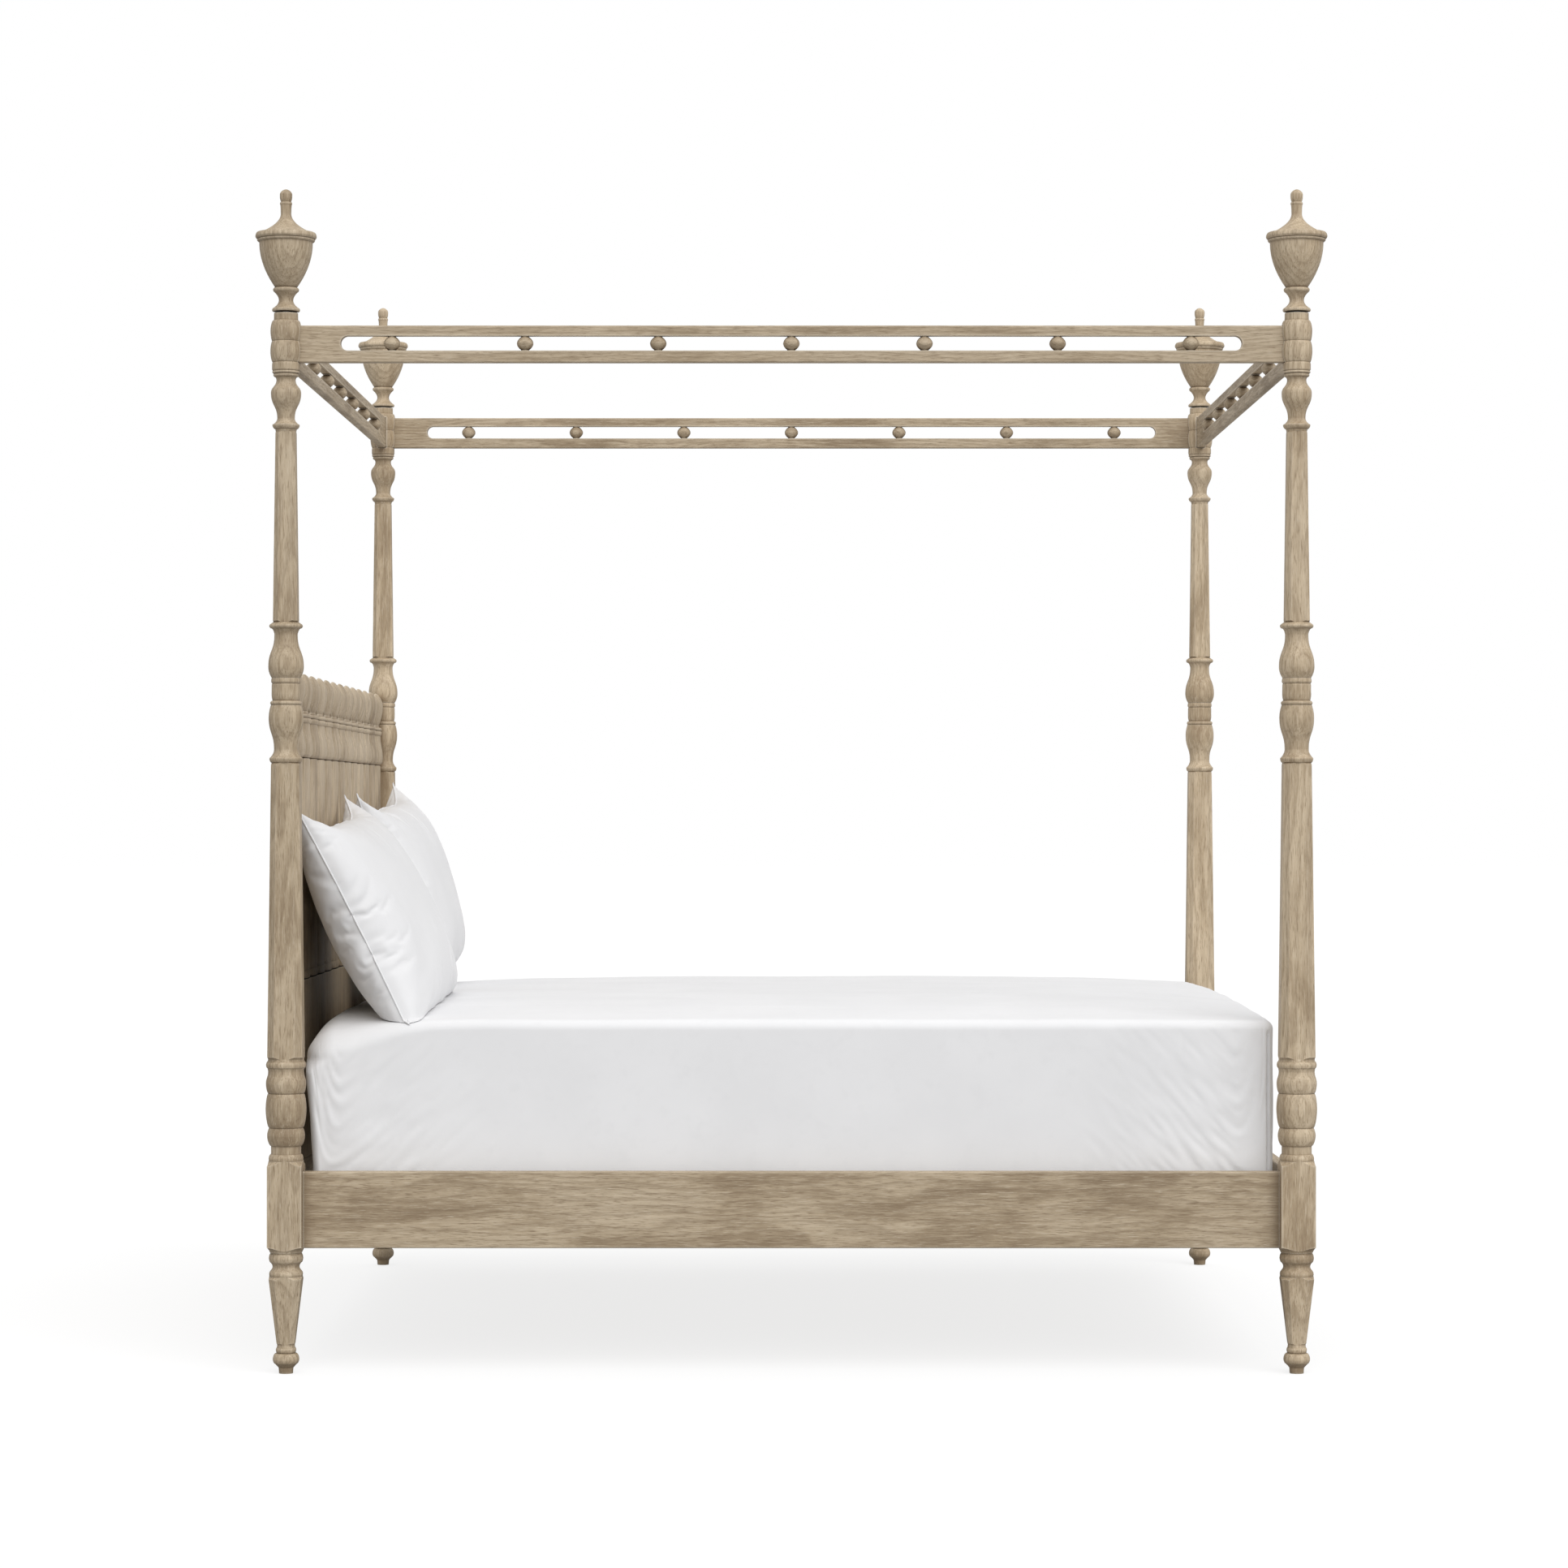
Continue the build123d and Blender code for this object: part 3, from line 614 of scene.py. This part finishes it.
def stand_up(body, make, height, local):
    """Stands a flat case on its long edge where its CAD solid is, rolled a little and leaned back."""
    u, v, w = local[:, 0], local[:, 1] + height / 2, local[:, 2]
    w = w * np.where(w > 0, 1.0, BACK_PRESS)
    lean = math.radians(make["lean"])
    up = np.array([-math.sin(lean), 0.0, math.cos(lean)])
    out = np.array([math.cos(lean), 0.0, math.sin(lean)])
    along = np.array([0.0, math.cos(ROLL), math.sin(ROLL)])
    (_, near, bottom), (front, far, _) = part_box(body)
    foot = np.array([front, (near + far) / 2, bottom]) + np.array(make["foot"]) * MM
    return foot + u[:, None] * along + v[:, None] * up + w[:, None] * out


def settle(q, in_front, rim, shape):
    """Presses a standing case against the spindles and lifts it clear of the mattress."""
    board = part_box("head_spindle_07")[1][0]
    behind = np.maximum(0.0, board + BOARD_CLEAR - q[:, 0])
    q[:, 0] += BOARD_PRESS * behind
    clear = np.full(len(q), CASE_CLEAR)
    clear[rim] += SEAM_RADIUS
    under = np.maximum(0.0, shape.top_at(q[:, 0], q[:, 1]) + clear - q[:, 2])
    q[:, 0] += np.minimum(under, SPREAD_LIMIT) * np.where(in_front, *SPREAD)
    q[:, 2] = np.maximum(q[:, 2], shape.top_at(q[:, 0], q[:, 1]) + clear)


def make_pillow(body, make, shape, material):
    """One pillow and its welt, resting on the mattress and on the headboard."""
    size = np.array(make["size"]) * MM
    points, faces, rim = plump_pillow(STUFFED * size * FULL_SIZE, make["seed"])
    thing = mesh_object(f"{body}_case", points, faces, material)
    local = np.array(points)
    local = inflate(thing, PRESSURE, SETTLE_FRAMES)
    low, high = local.min(axis=0), local.max(axis=0)
    local = (local - (low + high) / 2) * size / (high - low)
    q = stand_up(body, make, size[1], local)
    settle(q, local[:, 2] > 0, rim, shape)
    thing.data.vertices.foreach_set("co", q.ravel())
    thing.data.update()
    subdivide = thing.modifiers.new("smooth", "SUBSURF")
    subdivide.levels = 1
    subdivide.render_levels = 1
    return thing, seam_tube(f"{body}_seam", q[rim], material)


def seam_tube(name, points, material):
    """A thin stitched welt that follows the joined edge of a case."""
    curve = bpy.data.curves.new(name, "CURVE")
    curve.dimensions = "3D"
    curve.bevel_depth = SEAM_RADIUS
    curve.bevel_resolution = 2
    spline = curve.splines.new("POLY")
    spline.points.add(len(points) - 1)
    for point, q in zip(spline.points, points):
        point.co = (*q, 1.0)
    spline.use_cyclic_u = True
    thing = bpy.data.objects.new(name, curve)
    bpy.context.scene.collection.objects.link(thing)
    curve.materials.append(material)
    return thing


def make_bedding():
    """The covered mattress and two pillows, each riding on the body of the solid that it replaces."""
    cover = cotton("cotton_mattress")
    case = cotton("cotton_pillow", (0.0, math.radians(PILLOWS["right"]["lean"]), 0.0), PILLOW_TONE)
    shape = MattressShape()
    mattress = make_mattress(shape, cover)
    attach(mattress, "mattress")
    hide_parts("mattress")
    for side, make in PILLOWS.items():
        body = f"pillow_{side}"
        pillow, seam = make_pillow(body, make, shape, case)
        for piece in (pillow, seam):
            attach(piece, body)
        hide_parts(body)


# ---------------------------------------------------------------- stage
def glow(tree, level_seen, level_lit):
    """A socket with one level for what the camera sees directly and another for the light it gives."""
    path = tree.nodes.new("ShaderNodeLightPath")
    level = tree.nodes.new("ShaderNodeMapRange")
    level.inputs["To Min"].default_value = level_lit
    level.inputs["To Max"].default_value = level_seen
    tree.links.new(path.outputs["Is Camera Ray"], level.inputs["Value"])
    return level.outputs["Result"]


def make_floor():
    """A pale floor that is not part of the bed."""
    s = Shader("studio_floor")
    s.surface.inputs["Base Color"].default_value = FLOOR_GREY
    s.surface.inputs["Roughness"].default_value = 1.0
    s.surface.inputs["Specular IOR Level"].default_value = 0.0
    s.surface.inputs["Emission Color"].default_value = WHITE
    s.link(glow(s.tree, *FLOOR_GLOW), s.surface.inputs["Emission Strength"])
    corners = [(x * FLOOR_REACH, y * FLOOR_REACH, 0.0) for x, y in ((-1, -1), (1, -1), (1, 1), (-1, 1))]
    floor = mesh_object("floor", corners, [(0, 1, 2, 3)], s.material)


def make_sun():
    """One broad, soft key light."""
    sun = bpy.data.lights.new("key", "SUN")
    sun.energy = SUN_ENERGY
    sun.angle = SUN_ANGLE
    lamp = bpy.data.objects.new("key", sun)
    lamp.rotation_euler = SUN_DIRECTION.to_track_quat("-Z", "Y").to_euler()
    bpy.context.scene.collection.objects.link(lamp)


def make_camera():
    """A level camera that looks along +Y."""
    camera = bpy.data.cameras.new("camera")
    camera.sensor_width = SENSOR
    camera.lens = LENS
    camera.shift_x, camera.shift_y = SHIFT
    camera.clip_start = 0.01
    holder = bpy.data.objects.new("camera", camera)
    holder.location = CAMERA
    holder.rotation_euler = (math.radians(90.0), 0.0, 0.0)
    bpy.context.scene.collection.objects.link(holder)
    bpy.context.scene.camera = holder
    bpy.context.scene.view_settings.view_transform = "Standard"


def make_world():
    """Even white light all round; the backdrop itself shows as plain white."""
    world = bpy.data.worlds.new("studio")
    world.use_nodes = True
    nodes, links = world.node_tree.nodes, world.node_tree.links
    level = glow(world.node_tree, *WORLD_GLOW)
    links.new(level, nodes["Background"].inputs["Strength"])
    nodes["Background"].inputs["Color"].default_value = WHITE
    bpy.context.scene.world = world


dress_wood()
make_bedding()
make_floor()
make_world()
make_sun()
make_camera()
